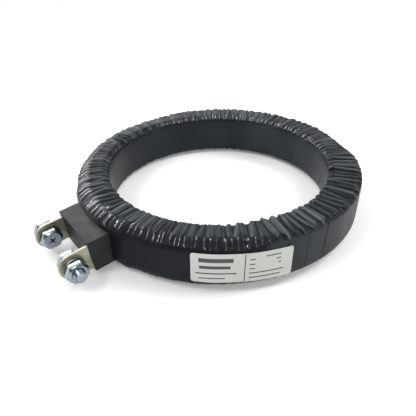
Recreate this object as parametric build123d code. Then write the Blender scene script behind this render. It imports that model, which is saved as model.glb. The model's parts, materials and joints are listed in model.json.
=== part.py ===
from build123d import *
import os
from math import asin, cos, degrees, radians, sin, sqrt, tan

os.makedirs("parts", exist_ok=True)

# Window-type current transformer: a tape-wrapped ring with a two-screw terminal block.
# Origin on the ring's axis at mid-height, +Z along the axis, the terminal block on -Y and its
# screws along X. Lengths are in millimetres and angles in degrees.

# ---------------------------------------------------------------- driving dimensions

# Ring, from the window outwards
window_d = 125.0            # clear window for the primary conductor
core_build = 6.6            # radial build of the wound core
core_strip = 15.4           # width of the core strip, along the axis
core_edge = 0.5             # easing of the core's edges
liner_t = 1.0               # pressboard about the core
liner_edge = 0.25           # eased edge of the pressboard end rings
winding_bore = 3.5          # build of the winding on the window side
winding_outer = 2.9         # build of the winding on the outside
winding_face = 3.3          # build of the winding on the two flat faces
winding_shoulder_in = 2.4   # rounding of the winding at the window
winding_shoulder_out = 5.3  # rounding of the winding at the outside
shoulder_flats = 2          # flats that round each shoulder of the inner layers
film_t = 0.3                # polyester film between the winding and the tape
tape_bore = 1.0             # build of the tape on the window side
tape_outer = 0.8            # build of the tape on the outside
tape_face = 1.0             # build of the tape on the two flat faces
lay_gap = 0.05              # clearance between one layer and the next

# Lapped turns of tape, gathered into pleats on the flat faces
tape_turns = 44
tape_t = 0.18               # one thickness of tape, the step at each turn's free edge
lap_slant = 4.0             # lean of the laps on the outer wall
pleat_shares = (0.36, 0.29, 0.35)  # how each turn's width is divided into pleats
pleat_rise = 0.55           # height of the tallest pleat on the flat faces
pleat_proud = 0.06          # height of a pleat on the outer wall
pleat_uneven = 0.45         # share by which the lowest pleat falls short of the tallest
swell_blend = 5.0           # angle over which the tape comes down from the block's wings

# Terminal block: a moulding whose wings lie under the tape
block_w = 34.4              # along X
block_stand = 10.2          # seat on the ring out to the middle of the front face
block_z = -2.9              # height of the block's middle at its front face
block_droop = 5.5           # the block hangs forward from its wings by this angle
block_edge = 0.4            # rounding of the block's edges
wing_t = 1.0
wing_h = 11.0
wing_z = -0.6               # height of the wings' middle
wing_reach = 6.5            # how far each wing runs on past the block
seat_gap = 0.1              # clearance of the tape round the block
pocket_h = 11.5             # wiring pocket in the back of the block
pocket_past = 0.2           # how far the pocket runs on past the tabs' inner faces
front_wall = 4.0            # moulding in front of the pocket, which holds the tabs

# Terminal tabs: tinned brass plates on edge
tab_t = 1.7
tab_h = 13.4
tab_drop = 2.45             # top of the block down to the top edge of a tab
tab_foot = 1.65             # bottom edge of a tab down to the bottom of the block
cheek_t = 1.2               # moulding outside each tab
tab_root_len = 2.0          # root behind the front wall
tab_root_lip = 0.7          # how far the root stands out above and below its slot
tab_fit = 0.05              # clearance of a tab in its slot
bolt_reach = 9.1            # front face to the screw's axis

# M6 fasteners, with the engaged threads meeting at the pitch diameter
thread_d = 6.0
thread_pitch_d = 5.35
thread_free = 2.8           # thread left standing out of the nut
point_chamfer = 0.9
hex_af = 10.0               # across flats, of the nut and of the screw's head
hex_face_r = 4.2            # flat end inside the turned corners
hex_crown = 1.0             # depth to which the corners are turned away
head_h = 4.2
nut_h = 4.4
recess_w = 5.0              # cross recess in the head
recess_arm = 1.1
recess_depth = 2.0
recess_turn = 22.0          # from the tab's length to an arm of the cross
washer_od = 12.0
washer_t = 1.0
spring_od = 11.0
spring_t = 1.4              # spring washer, closed up
spring_slit = 0.8
spring_slit_lean = 20.0
spring_slit_turn = 56.0     # from the block up to the slit
hole_clearance = 0.2        # round the thread, in washers and tabs
thread_gap = 0.03           # between the screw and the nut
face_gap = 0.02             # between clamped faces

# Leads from the winding to the tabs
wire_d = 1.25
sleeve_t = 0.4
sleeve_fit = 0.03           # between the wire and its sleeve
sleeve_bare = 1.0           # bare wire at the tab
lead_x = 7.0                # where a lead leaves the winding, each side of the block's middle
lead_bend_r = 2.2

# Label on the outer wall
label_w = 47.0              # along the wall
label_h = 16.4
label_t = 0.2
label_corner_r = 1.2
label_angle = -30.7         # azimuth of its middle
label_z = 0.3
label_tilt = -1.2           # stuck on a little out of level

# ---------------------------------------------------------------- derived sizes

window_r = window_d / 2
film_bore_r = window_r + tape_bore + lay_gap
winding_bore_r = film_bore_r + film_t + lay_gap
liner_bore_r = winding_bore_r + winding_bore + lay_gap
core_bore_r = liner_bore_r + liner_t + lay_gap
core_outer_r = core_bore_r + core_build
liner_outer_r = core_outer_r + lay_gap + liner_t
winding_outer_r = liner_outer_r + lay_gap + winding_outer
film_outer_r = winding_outer_r + lay_gap + film_t
tape_wall_r = film_outer_r + lay_gap + tape_outer
ring_r = tape_wall_r + tape_t + pleat_proud

core_half = core_strip / 2
liner_half = core_half + lay_gap + liner_t
winding_half = liner_half + lay_gap + winding_face
film_half = winding_half + lay_gap + film_t
tape_half = film_half + lay_gap + tape_face

film_shoulder_in = winding_shoulder_in + lay_gap + film_t
film_shoulder_out = winding_shoulder_out + lay_gap + film_t
tape_shoulder_in = film_shoulder_in + lay_gap + min(tape_bore, tape_face)
tape_shoulder_out = film_shoulder_out + lay_gap + min(tape_outer, tape_face)

pleats = len(pleat_shares)
turn_angle = 360 / tape_turns
bore_stock = 0.4            # trimmed off so that the window is truly round

seat_r = film_outer_r + lay_gap
seat_sag = seat_r - sqrt(seat_r ** 2 - (block_w / 2) ** 2)
block_reach = seat_r + block_stand
wing_r = seat_r + wing_t
block_angle = -90.0
wing_half_angle = degrees(asin(block_w / 2 / seat_r) + wing_reach / seat_r)
swell = wing_t + lay_gap    # how far the tape stands out over the wings

# The block's own frame: its front face is at y = 0, and it hangs down by the droop
block_h = tab_drop + tab_h + tab_foot
block_frame = Pos(0, -block_reach, block_z) * Rot(block_droop, 0, 0)
body_depth = block_stand + seat_sag + block_h / 2 * sin(radians(block_droop)) + wing_t
tab_outer_x = block_w / 2 - cheek_t
tab_inner_x = tab_outer_x - tab_t
pocket_w = 2 * (tab_inner_x + pocket_past)
tab_z = block_h / 2 - tab_drop - tab_h / 2

hole_r = thread_d / 2 + hole_clearance
spring_base = washer_t + 2 * face_gap
nut_base = spring_base + spring_t + face_gap
nut_top = nut_base + nut_h + face_gap
head_base = -(tab_t + washer_t + 2 * face_gap)

# A lead leaves the winding straight out, level with the middle of the pocket, and turns
# sideways to the middle of a tab's root
lead_z = block_z + block_stand * sin(radians(block_droop))
lead_turn_y = -(block_reach - front_wall - tab_root_len / 2)
lead_exit_y = -sqrt(winding_outer_r ** 2 - (lead_x - wire_d / 2) ** 2) - lay_gap
sleeve_r = wire_d / 2 + sleeve_fit + sleeve_t


# ---------------------------------------------------------------- helpers

def ring(r_in, r_out, half_h, shoulder_in, shoulder_out):
    """Solid ring of revolution, rounded in flats at the window and at the outside."""
    points = []
    for quadrant in range(4):
        outer = quadrant in (0, 3)
        top = quadrant in (0, 1)
        shoulder = shoulder_out if outer else shoulder_in
        u = r_out - shoulder if outer else r_in + shoulder
        w = half_h - shoulder if top else shoulder - half_h
        for flat in range(shoulder_flats + 1):
            a = radians(90 * (quadrant + flat / shoulder_flats))
            points.append((u + shoulder * cos(a), w + shoulder * sin(a)))
    return revolve(Plane.XZ * make_face(Polyline(*points, close=True)), Axis.Z)


def tube(r_in, r_out, height):
    return Cylinder(r_out, height) - Cylinder(r_in, 2 * height)


def save(shape, node):
    whole = Compound(shape.solids())
    whole.label = node
    export_step(whole, f"parts/{node}.step")


# ---------------------------------------------------------------- core and its insulation

def make_core():
    return ring(core_bore_r, core_outer_r, core_half, core_edge, core_edge)


def make_end_ring(side):
    """Flat pressboard ring over the edges of the core and of the two liners."""
    plate = Pos(0, 0, liner_t / 2) * tube(liner_bore_r, liner_outer_r, liner_t)
    plate = chamfer(plate.edges().group_by(Axis.Z)[-1], liner_edge)
    plate = Pos(0, 0, core_half + lay_gap) * plate
    return plate if side > 0 else mirror(plate, Plane.XY)


# ---------------------------------------------------------------- winding and film

def make_winding():
    outside = ring(
        winding_bore_r, winding_outer_r, winding_half, winding_shoulder_in, winding_shoulder_out
    )
    hollow = tube(
        liner_bore_r - lay_gap, liner_outer_r + lay_gap, 2 * (liner_half + lay_gap)
    )
    return outside - hollow


def make_film():
    outside = ring(film_bore_r, film_outer_r, film_half, film_shoulder_in, film_shoulder_out)
    hollow = ring(
        film_bore_r + film_t, film_outer_r - film_t, film_half - film_t,
        film_shoulder_in - film_t, film_shoulder_out - film_t,
    )
    film = outside - hollow
    for side in (-1, 1):
        way_out = Rot(90, 0, 0) * Cylinder(sleeve_r + lay_gap, 6 * film_t)
        film -= Pos(side * lead_x, lead_exit_y, lead_z) * way_out
    return film


# ---------------------------------------------------------------- tape

def swell_at(angle):
    """How far the tape stands out over the block's wings, at an angle round the ring."""
    off = abs((angle - block_angle + 180) % 360 - 180) - wing_half_angle
    share = min(max(1 - off / swell_blend, 0), 1)
    return swell * share * share * (3 - 2 * share)


def tape_point(angle, u, w):
    """A point of the tape's section, u from the axis and w above the middle. The section
    leans, so that the laps run slanted down the outer wall."""
    a = radians(angle)
    lean = w * tan(radians(lap_slant))
    return Vector(u * cos(a) - lean * sin(a), u * sin(a) + lean * cos(a), w)


def tape_section(angle, proud, rise):
    """Eight edges round the tape: outer wall, shoulder, face, shoulder, bore, and back."""
    wall = tape_wall_r + swell_at(angle) + proud
    bore = window_r - bore_stock - proud
    wall_z = tape_half - tape_shoulder_out
    bore_z = tape_half - tape_shoulder_in
    face_out = tape_wall_r - tape_shoulder_out
    face_in = window_r + tape_shoulder_in
    top = tape_half + rise

    def straight(u_from, w_from, u_to, w_to):
        return Edge.make_line(tape_point(angle, u_from, w_from), tape_point(angle, u_to, w_to))

    def shoulder(u_wall, w_wall, u_face, w_face):
        start = tape_point(angle, u_wall, w_wall)
        rising = tape_point(angle, u_wall, w_face) - start
        return Edge.make_tangent_arc(start, rising, tape_point(angle, u_face, w_face))

    return [
        straight(wall, -wall_z, wall, wall_z),
        shoulder(wall, wall_z, face_out, top),
        straight(face_out, top, face_in, top),
        shoulder(bore, bore_z, face_in, top),
        straight(bore, bore_z, bore, -bore_z),
        shoulder(bore, -bore_z, face_in, -top),
        straight(face_in, -top, face_out, -top),
        shoulder(wall, -wall_z, face_out, -top),
    ]


def make_tape_skin():
    """Each pleat starts proud and falls away to where the next one starts, and each turn
    starts one tape thickness proud of the turn before it."""
    starts = []
    ends = []
    for k in range(tape_turns * pleats):
        turn, pleat = divmod(k, pleats)
        from_share = sum(pleat_shares[:pleat])
        to_share = from_share + pleat_shares[pleat]
        height = 1 - pleat_uneven * (0.5 + 0.5 * sin(2.4 * k))
        lap_from = tape_t * (1 - from_share)
        lap_to = tape_t * (1 - to_share)
        starts.append(tape_section(
            (turn + from_share) * turn_angle,
            lap_from + pleat_proud * height,
            lap_from + pleat_rise * height,
        ))
        ends.append(tape_section((turn + to_share) * turn_angle, lap_to, lap_to))
    faces = []
    for k, (start, end) in enumerate(zip(starts, ends)):
        faces += [Face.make_surface_from_curves(a, b) for a, b in zip(start, end)]
        faces.append(Face(Wire(start), [Wire(ends[k - 1])]))
    return Solid(Shell(faces))


def make_tape():
    hollow = ring(
        film_bore_r - lay_gap, film_outer_r + lay_gap, film_half + lay_gap,
        film_shoulder_in + lay_gap, film_shoulder_out + lay_gap,
    )
    tape = make_tape_skin() - Cylinder(window_r, 4 * tape_half) - hollow
    return tape - wings(lay_gap) - block_frame * block_body(seat_gap)


# ---------------------------------------------------------------- terminal block

def wings(gap):
    """Curved plate that lies under the tape, grown by a gap all round."""
    shell = tube(seat_r - gap, wing_r + gap, wing_h + 2 * gap)
    half_chord = wing_r * sin(radians(wing_half_angle)) + gap
    keep = Pos(0, -wing_r, 0) * Box(2 * half_chord, wing_r, wing_h + 2 * gap)
    return Pos(0, 0, wing_z) * (shell & keep)


def block_body(gap):
    """Plain body of the block in its own frame, grown by a gap, running into the ring."""
    body = Box(block_w + 2 * gap, body_depth + gap, block_h + 2 * gap)
    front = body.faces().sort_by(Axis.Y)[0]
    body = fillet(front.edges() + body.edges().filter_by(Axis.Y), block_edge + gap)
    return Pos(0, (body_depth - gap) / 2, 0) * body


def make_block():
    pocket_depth = body_depth - front_wall
    pocket = Box(pocket_w, pocket_depth, pocket_h)
    tools = [Pos(0, front_wall + pocket_depth / 2, 0) * pocket]
    for side in (-1, 1):
        x = side * (tab_inner_x + tab_outer_x) / 2
        slot = Box(tab_t + 2 * tab_fit, 2 * front_wall, tab_h + 2 * tab_fit)
        root_h = tab_h + 2 * (tab_root_lip + tab_fit)
        root = Box(tab_t + 2 * tab_fit, pocket_depth, root_h)
        tools.append(Pos(x, front_wall / 2, tab_z) * slot)
        tools.append(Pos(x, front_wall + pocket_depth / 2, tab_z) * root)
    body = block_frame * block_body(0) - Cylinder(seat_r, 4 * tape_half)
    block = body + wings(0)
    for tool in tools:
        block -= block_frame * tool
    return block


def make_tab(side):
    """Plate with a round end, and a wider root that bears on the back of the front wall."""
    neck_len = bolt_reach + front_wall + tab_root_len
    neck = Pos(neck_len / 2 - bolt_reach, 0) * Rectangle(neck_len, tab_h)
    root_y = front_wall + face_gap + tab_root_len / 2
    root = Pos(root_y, 0) * Rectangle(tab_root_len, tab_h + 2 * tab_root_lip)
    nose = Pos(-bolt_reach, 0) * Circle(tab_h / 2)
    hole = Pos(-bolt_reach, 0) * Circle(hole_r)
    plate = extrude(Plane.YZ * (neck + root + nose - hole), tab_t)
    x = tab_inner_x if side > 0 else -tab_outer_x
    return block_frame * Pos(x, 0, tab_z) * plate


# ---------------------------------------------------------------- fasteners

def on_tab(side, shape):
    """Put a fastener, drawn along +Z from a tab's outer face, on the screw's axis."""
    turned = Rot(0, 90 * side, 0) * shape
    return block_frame * Pos(side * tab_outer_x, -bolt_reach, tab_z) * turned


def disc(r, base, height):
    return Pos(0, 0, base + height / 2) * Cylinder(r, height)


def hexagon(height, turned_ends):
    """Hexagonal prism about its middle, one flat up, with its corners turned away at the
    given ends: 1 for the upper end and -1 for the lower."""
    outline = RegularPolygon(hex_af / 2, 6, major_radius=False, rotation=30)
    prism = Pos(0, 0, -height / 2) * extrude(outline, height)
    flare = (hex_af / sqrt(3) - hex_face_r) / hex_crown
    for end in turned_ends:
        crown = Cone(hex_face_r + flare * height, hex_face_r, height)
        prism &= Rot(0 if end > 0 else 180, 0, 0) * crown
    return prism


def make_screw(side):
    head = hexagon(head_h, [-1])
    for turn in (recess_turn, recess_turn + 90):
        arm = Box(recess_arm, recess_w, 2 * recess_depth)
        head -= Pos(0, 0, -head_h / 2) * Rot(0, 0, side * turn) * arm
    head = Pos(0, 0, head_base - head_h / 2) * head
    engaged = disc(thread_pitch_d / 2, head_base, nut_top - head_base)
    free = disc(thread_d / 2, nut_top, thread_free)
    free = chamfer(free.edges().sort_by(Axis.Z)[-1], point_chamfer)
    return on_tab(side, head + engaged + free)


def make_nut(side):
    nut = Pos(0, 0, nut_base + nut_h / 2) * hexagon(nut_h, [-1, 1])
    nut -= disc(thread_pitch_d / 2 + thread_gap, nut_base, nut_h)
    return on_tab(side, nut)


def make_washer(side, base):
    return on_tab(side, disc(washer_od / 2, base, washer_t) - disc(hole_r, base, washer_t))


def make_spring_washer(side):
    washer = disc(spring_od / 2, spring_base, spring_t) - disc(hole_r, spring_base, spring_t)
    slit = Rot(0, spring_slit_lean, 0) * Box(spring_slit, spring_od, 4 * spring_t)
    slit = Rot(0, 0, side * spring_slit_turn) * Pos(0, spring_od / 2, 0) * slit
    washer -= Pos(0, 0, spring_base + spring_t / 2) * slit
    return on_tab(side, washer)


# ---------------------------------------------------------------- leads

def lead_path(side, end_x, exit_y):
    line = FilletPolyline(
        (side * lead_x, exit_y, lead_z),
        (side * lead_x, lead_turn_y, lead_z),
        (side * end_x, lead_turn_y, lead_z),
        radius=lead_bend_r,
    )
    return line


def swept(path, r_out, r_in=0.0):
    start = Plane(path @ 0, z_dir=path % 0)
    profile = start * Circle(r_out)
    if r_in:
        profile -= start * Circle(r_in)
    return sweep(profile, path)


def make_lead(side):
    return swept(lead_path(side, tab_inner_x - face_gap, lead_exit_y), wire_d / 2)


def make_sleeve(side):
    path = lead_path(side, tab_inner_x - sleeve_bare, lead_exit_y - lay_gap)
    return swept(path, sleeve_r, wire_d / 2 + sleeve_fit)


# ---------------------------------------------------------------- label

def make_label():
    wall = tube(ring_r + lay_gap, ring_r + lay_gap + label_t, 2 * label_h)
    half_angle = label_w / 2 / ring_r
    outline = RectangleRounded(2 * ring_r * sin(half_angle), label_h, label_corner_r)
    stamp = extrude(Plane.YZ * Rot(0, 0, label_tilt) * outline, 2 * ring_r)
    return Pos(0, 0, label_z) * Rot(0, 0, label_angle) * (wall & stamp)


# ---------------------------------------------------------------- build

save(make_core(), "core")
save(tube(liner_bore_r, liner_bore_r + liner_t, 2 * core_half), "core_bore_liner")
save(tube(liner_outer_r - liner_t, liner_outer_r, 2 * core_half), "core_outer_liner")
save(make_end_ring(1), "core_top_ring")
save(make_end_ring(-1), "core_bottom_ring")
save(make_winding(), "secondary_winding")
save(make_film(), "film_wrap")
save(make_tape(), "tape_wrap")
save(make_block(), "terminal_block")
save(make_label(), "rating_label")
for name, side in (("s1", -1), ("s2", 1)):
    save(make_tab(side), f"terminal_tab_{name}")
    save(make_screw(side), f"screw_{name}")
    save(make_nut(side), f"nut_{name}")
    save(make_washer(side, face_gap), f"nut_washer_{name}")
    save(make_washer(side, head_base + face_gap), f"head_washer_{name}")
    save(make_spring_washer(side), f"spring_washer_{name}")
    save(make_lead(side), f"lead_{name}")
    save(make_sleeve(side), f"lead_sleeve_{name}")
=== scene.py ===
# %% [markdown]
# # A tape-wrapped ring transformer, dressed in Blender
#
# The real object is a current transformer: a steel core and a copper winding inside a ring that
# is bound with black PVC tape, with a small plastic terminal block on its side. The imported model
# holds every piece at its true size. Here each visible piece gets the surface that a hand would
# recognise: pleated tape, zinc-plated screws, tinned tabs and a foil label. Lengths are in
# metres, as everywhere in Blender, and small sizes are written with the helper value `mm`.

# %% Load the frame
import json
import random
from math import atan2, pi, radians, sqrt, tau

import bpy
import numpy as np
from mathutils import Matrix, Vector


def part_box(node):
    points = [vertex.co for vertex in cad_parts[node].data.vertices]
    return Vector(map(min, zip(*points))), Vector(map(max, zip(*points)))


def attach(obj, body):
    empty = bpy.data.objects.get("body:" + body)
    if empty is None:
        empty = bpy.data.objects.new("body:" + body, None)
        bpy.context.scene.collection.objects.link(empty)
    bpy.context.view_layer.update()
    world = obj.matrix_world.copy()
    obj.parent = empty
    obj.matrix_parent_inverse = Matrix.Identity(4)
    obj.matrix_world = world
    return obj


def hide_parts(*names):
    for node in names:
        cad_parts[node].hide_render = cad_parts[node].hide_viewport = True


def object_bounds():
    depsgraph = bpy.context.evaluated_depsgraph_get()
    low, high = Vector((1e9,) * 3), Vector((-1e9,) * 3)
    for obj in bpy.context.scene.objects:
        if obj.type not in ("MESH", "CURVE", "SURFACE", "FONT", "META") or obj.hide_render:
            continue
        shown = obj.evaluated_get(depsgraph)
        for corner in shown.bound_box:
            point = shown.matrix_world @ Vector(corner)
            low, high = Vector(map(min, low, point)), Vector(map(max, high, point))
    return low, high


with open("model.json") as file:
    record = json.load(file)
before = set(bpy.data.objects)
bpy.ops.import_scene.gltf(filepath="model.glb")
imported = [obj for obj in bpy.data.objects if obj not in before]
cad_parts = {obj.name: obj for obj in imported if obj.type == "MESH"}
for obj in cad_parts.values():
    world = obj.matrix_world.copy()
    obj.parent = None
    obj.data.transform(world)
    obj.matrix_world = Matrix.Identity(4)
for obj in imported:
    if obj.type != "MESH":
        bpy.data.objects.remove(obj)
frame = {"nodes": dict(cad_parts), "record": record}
cad_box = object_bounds()
mm = 0.001
nodes = frame["nodes"]
mounts = {m["name"]: m for m in frame["record"]["mounts"]}
print("CAD nodes:", len(nodes))

# %% [markdown]
# ## Small helpers for working as by hand
#
# Blender's operators act on whatever is selected, so each step starts by letting go of
# everything. A finished piece keeps its place in its mesh, with its object at the origin, and
# then rides on the model's one body and stands for the CAD node whose place it takes.

# %% Helpers for selecting and finishing


def deselect():
    if bpy.context.mode != "OBJECT":
        bpy.ops.object.mode_set(mode="OBJECT")
    bpy.ops.object.select_all(action="DESELECT")


def take(obj):
    """Selects one object alone and makes it the active one."""
    deselect()
    obj.select_set(True)
    bpy.context.view_layer.objects.active = obj


def pick(obj, mode, test):
    """Enters edit mode with only the vertices, edges or faces chosen for which test(item) holds."""
    take(obj)
    bpy.ops.object.mode_set(mode="EDIT")
    bpy.ops.mesh.select_mode(type=mode)
    bpy.ops.mesh.select_all(action="DESELECT")
    bpy.ops.object.mode_set(mode="OBJECT")
    items = {"VERT": obj.data.vertices, "EDGE": obj.data.edges, "FACE": obj.data.polygons}[mode]
    chosen = 0
    for item in items:
        item.select = bool(test(item))
        chosen += item.select
    bpy.ops.object.mode_set(mode="EDIT")
    return chosen


def edge_middle(obj, edge):
    a, b = (obj.data.vertices[i].co for i in edge.vertices)
    return (a + b) / 2


def leave_edit():
    bpy.ops.object.mode_set(mode="OBJECT")


def apply_modifiers(obj):
    take(obj)
    for modifier in list(obj.modifiers):
        bpy.ops.object.modifier_apply(modifier=modifier.name)


def close_up(obj):
    """Merges doubled vertices and turns all faces outwards."""
    pick(obj, "VERT", lambda v: True)
    bpy.ops.mesh.remove_doubles(threshold=0.002 * mm)
    bpy.ops.mesh.normals_make_consistent(inside=False)
    leave_edit()


def finish_piece(obj, name, material, replaced=(), smooth=None):
    """Names a piece, puts its place into its mesh and fits it to the frame."""
    take(obj)
    bpy.ops.object.transform_apply(location=True, rotation=True, scale=True)
    if smooth is not None:
        bpy.ops.object.shade_smooth_by_angle(angle=radians(smooth))
    obj.name = name
    obj.data.name = name
    obj.data.materials.clear()
    obj.data.materials.append(material)
    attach(obj, "root")
    if replaced:
        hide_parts(*replaced)
    low = [min(v.co[i] for v in obj.data.vertices) / mm for i in range(3)]
    high = [max(v.co[i] for v in obj.data.vertices) / mm for i in range(3)]
    print(name, "faces", len(obj.data.polygons), "mm", [round(b - a, 2) for a, b in zip(low, high)])


# %% [markdown]
# ## The camera and the floor
#
# The ring is seen from a little above, over its label. The lens is short, so the near side
# looks larger than the far side. The view is described by where the camera stands, the point
# on the ring's mid-plane that it looks at, and a slight roll.

# %% Camera
camera_at = Vector((0.1751, -0.1393, 0.1295))
camera_aim = Vector((0.0215, -0.0241, 0.0))
camera_roll = radians(-1.09)
camera_lens = 37.4

bpy.ops.object.camera_add(location=camera_at)
camera = bpy.context.object
camera.data.lens = camera_lens
camera.data.sensor_width = 36.0
turn = (camera_aim - camera_at).to_track_quat("-Z", "Y").to_matrix()
camera.rotation_euler = (turn @ Matrix.Rotation(camera_roll, 3, "Z")).to_euler()
bpy.context.scene.camera = camera
bpy.context.scene.view_settings.view_transform = "Standard"
print("camera", tuple(round(v, 4) for v in camera_at))

# %% [markdown]
# The floor is a plain white sheet. Under soft light a white floor renders as a pale grey, so a
# little glow is added that only the camera and mirror-like reflections see. The object's
# shadow stays, because the glow is added to the lit floor and doesn't replace it. The sheet
# ends where the lamps still light it white, so its far edge doesn't show.

# %% Floor
floor_half = 0.8
floor_white = (0.86, 0.86, 0.86, 1)
floor_glow = 0.15


def seen_directly(tree):
    """A value of 1 for camera, glossy and transmitted rays, and 0 for the light on surfaces."""
    path = tree.nodes.new("ShaderNodeLightPath")
    first = tree.nodes.new("ShaderNodeMath")
    first.operation = "MAXIMUM"
    second = tree.nodes.new("ShaderNodeMath")
    second.operation = "MAXIMUM"
    tree.links.new(path.outputs["Is Camera Ray"], first.inputs[0])
    tree.links.new(path.outputs["Is Glossy Ray"], first.inputs[1])
    tree.links.new(first.outputs[0], second.inputs[0])
    tree.links.new(path.outputs["Is Transmission Ray"], second.inputs[1])
    return second.outputs[0]


deselect()
bpy.ops.mesh.primitive_plane_add(size=2 * floor_half, location=(0, 0, cad_box[0][2]))
floor = bpy.context.object
floor.name = "floor"
floor_paint = bpy.data.materials.new("floor_paint")
floor_paint.use_nodes = True
tree = floor_paint.node_tree
tree.nodes.clear()
sheet = tree.nodes.new("ShaderNodeBsdfDiffuse")
sheet.inputs["Color"].default_value = floor_white
glow = tree.nodes.new("ShaderNodeEmission")
strength = tree.nodes.new("ShaderNodeMath")
strength.operation = "MULTIPLY"
strength.inputs[1].default_value = floor_glow
both = tree.nodes.new("ShaderNodeAddShader")
output = tree.nodes.new("ShaderNodeOutputMaterial")
tree.links.new(seen_directly(tree), strength.inputs[0])
tree.links.new(strength.outputs[0], glow.inputs["Strength"])
tree.links.new(sheet.outputs[0], both.inputs[0])
tree.links.new(glow.outputs[0], both.inputs[1])
tree.links.new(both.outputs[0], output.inputs["Surface"])
floor.data.materials.append(floor_paint)
print("floor at", round(floor.location.z, 4), "and", 2 * floor_half, "m wide")

# %% [markdown]
# The studio round the ring is a pale tent that is open towards the camera. Its back and top are
# bright, and its open side is dim, so black glossy tape shows a dark band where it mirrors that
# side. The camera itself sees plain white.

# %% World
tent_bright = 0.80
tent_dim = 0.12
open_side = Vector((0.78, -0.62, 0))
open_from, open_to = -0.1, 0.7

world = bpy.data.worlds.new("studio")
bpy.context.scene.world = world
world.use_nodes = True
tree = world.node_tree
tree.nodes.clear()
direction = tree.nodes.new("ShaderNodeTexCoord")
facing = tree.nodes.new("ShaderNodeVectorMath")
facing.operation = "DOT_PRODUCT"
facing.inputs[1].default_value = open_side
dimming = tree.nodes.new("ShaderNodeMapRange")
dimming.interpolation_type = "SMOOTHSTEP"
dimming.inputs["From Min"].default_value = open_from
dimming.inputs["From Max"].default_value = open_to
dimming.inputs["To Min"].default_value = tent_bright
dimming.inputs["To Max"].default_value = tent_dim
lit = tree.nodes.new("ShaderNodeBackground")
shown = tree.nodes.new("ShaderNodeBackground")
shown.inputs["Strength"].default_value = 1.0
for background in (lit, shown):
    background.inputs["Color"].default_value = (1, 1, 1, 1)
mix = tree.nodes.new("ShaderNodeMixShader")
path = tree.nodes.new("ShaderNodeLightPath")
output = tree.nodes.new("ShaderNodeOutputWorld")
tree.links.new(direction.outputs["Generated"], facing.inputs[0])
tree.links.new(facing.outputs["Value"], dimming.inputs["Value"])
tree.links.new(dimming.outputs["Result"], lit.inputs["Strength"])
tree.links.new(path.outputs["Is Camera Ray"], mix.inputs[0])
tree.links.new(lit.outputs[0], mix.inputs[1])
tree.links.new(shown.outputs[0], mix.inputs[2])
tree.links.new(mix.outputs[0], output.inputs["Surface"])
print("tent from", tent_dim, "to", tent_bright)

# %% [markdown]
# Soft lamps do the rest. The one at the right back throws the soft shadows. The one at the left
# lights the streaks on the ring's left side, and a narrow one at the left front draws the crisp
# glints along the front shoulder. A wide dim one overhead and one at the front fill in.

# %% Lamps


def soft_lamp(name, place, width, height, radiance):
    """A rectangular area lamp that points at the ring's centre, given its brightness as seen."""
    deselect()
    bpy.ops.object.light_add(type="AREA", location=place)
    lamp = bpy.context.object
    lamp.name = name
    lamp.data.shape = "RECTANGLE"
    lamp.data.size = width
    lamp.data.size_y = height
    lamp.data.energy = radiance * pi * width * height
    lamp.rotation_euler = (-Vector(place)).to_track_quat("-Z", "Y").to_euler()
    print("lamp", name, round(lamp.data.energy, 2), "W")


soft_lamp("right_back", (0.33, 0.53, 0.80), 0.36, 0.36, 10.0)
soft_lamp("left", (-0.85, -0.16, 0.50), 0.80, 0.60, 4.0)
soft_lamp("left_front", (-0.09, -0.58, 0.78), 0.26, 0.26, 12.0)
soft_lamp("overhead", (-0.02, -0.10, 0.95), 0.60, 0.60, 0.4)
soft_lamp("front", (0.78, -0.22, 0.62), 0.36, 0.36, 7.0)

# %% [markdown]
# ## Materials
#
# Each finish is one Principled shader with a few textures in front of it. The textures read
# Object coordinates, so they stay put on the piece and have a real size in metres.

# %% Material helpers


def new_material(name, color, metallic, roughness, **sockets):
    """A material with one Principled shader, and the plain settings given by name."""
    material = bpy.data.materials.new(name)
    material.use_nodes = True
    shader = material.node_tree.nodes["Principled BSDF"]
    shader.inputs["Base Color"].default_value = (*color, 1)
    shader.inputs["Metallic"].default_value = metallic
    shader.inputs["Roughness"].default_value = roughness
    for socket, value in sockets.items():
        shader.inputs[socket.replace("_", " ")].default_value = value
    return material


def noise(material, scale, detail=2.0, stretch=(1, 1, 1)):
    """Noise in Object coordinates. The scale counts features per metre."""
    tree = material.node_tree
    place = tree.nodes.new("ShaderNodeTexCoord")
    mapping = tree.nodes.new("ShaderNodeMapping")
    mapping.inputs["Scale"].default_value = stretch
    texture = tree.nodes.new("ShaderNodeTexNoise")
    texture.inputs["Scale"].default_value = scale
    texture.inputs["Detail"].default_value = detail
    tree.links.new(place.outputs["Object"], mapping.inputs["Vector"])
    tree.links.new(mapping.outputs["Vector"], texture.inputs["Vector"])
    return texture.outputs["Fac"]


def spread(material, value, low, high, to_low, to_high):
    """Maps a value from one range to another."""
    tree = material.node_tree
    node = tree.nodes.new("ShaderNodeMapRange")
    node.inputs["From Min"].default_value = low
    node.inputs["From Max"].default_value = high
    node.inputs["To Min"].default_value = to_low
    node.inputs["To Max"].default_value = to_high
    tree.links.new(value, node.inputs["Value"])
    return node.outputs["Result"]


def feed(material, socket, value):
    """Links a value to a socket of the shader."""
    tree = material.node_tree
    tree.links.new(value, tree.nodes["Principled BSDF"].inputs[socket])


def tint(material, value, dark, light):
    """Mixes two colours by a value and gives the result to the shader."""
    tree = material.node_tree
    ramp = tree.nodes.new("ShaderNodeValToRGB")
    ramp.color_ramp.elements[0].color = (*dark, 1)
    ramp.color_ramp.elements[1].color = (*light, 1)
    tree.links.new(value, ramp.inputs["Fac"])
    feed(material, "Base Color", ramp.outputs["Color"])


def patches(material, scale, detail, low, high, stretch=(1, 1, 1)):
    """Noise spread between two values, which the middle part of its range fills."""
    return spread(material, noise(material, scale, detail, stretch), 0.3, 0.7, low, high)


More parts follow.
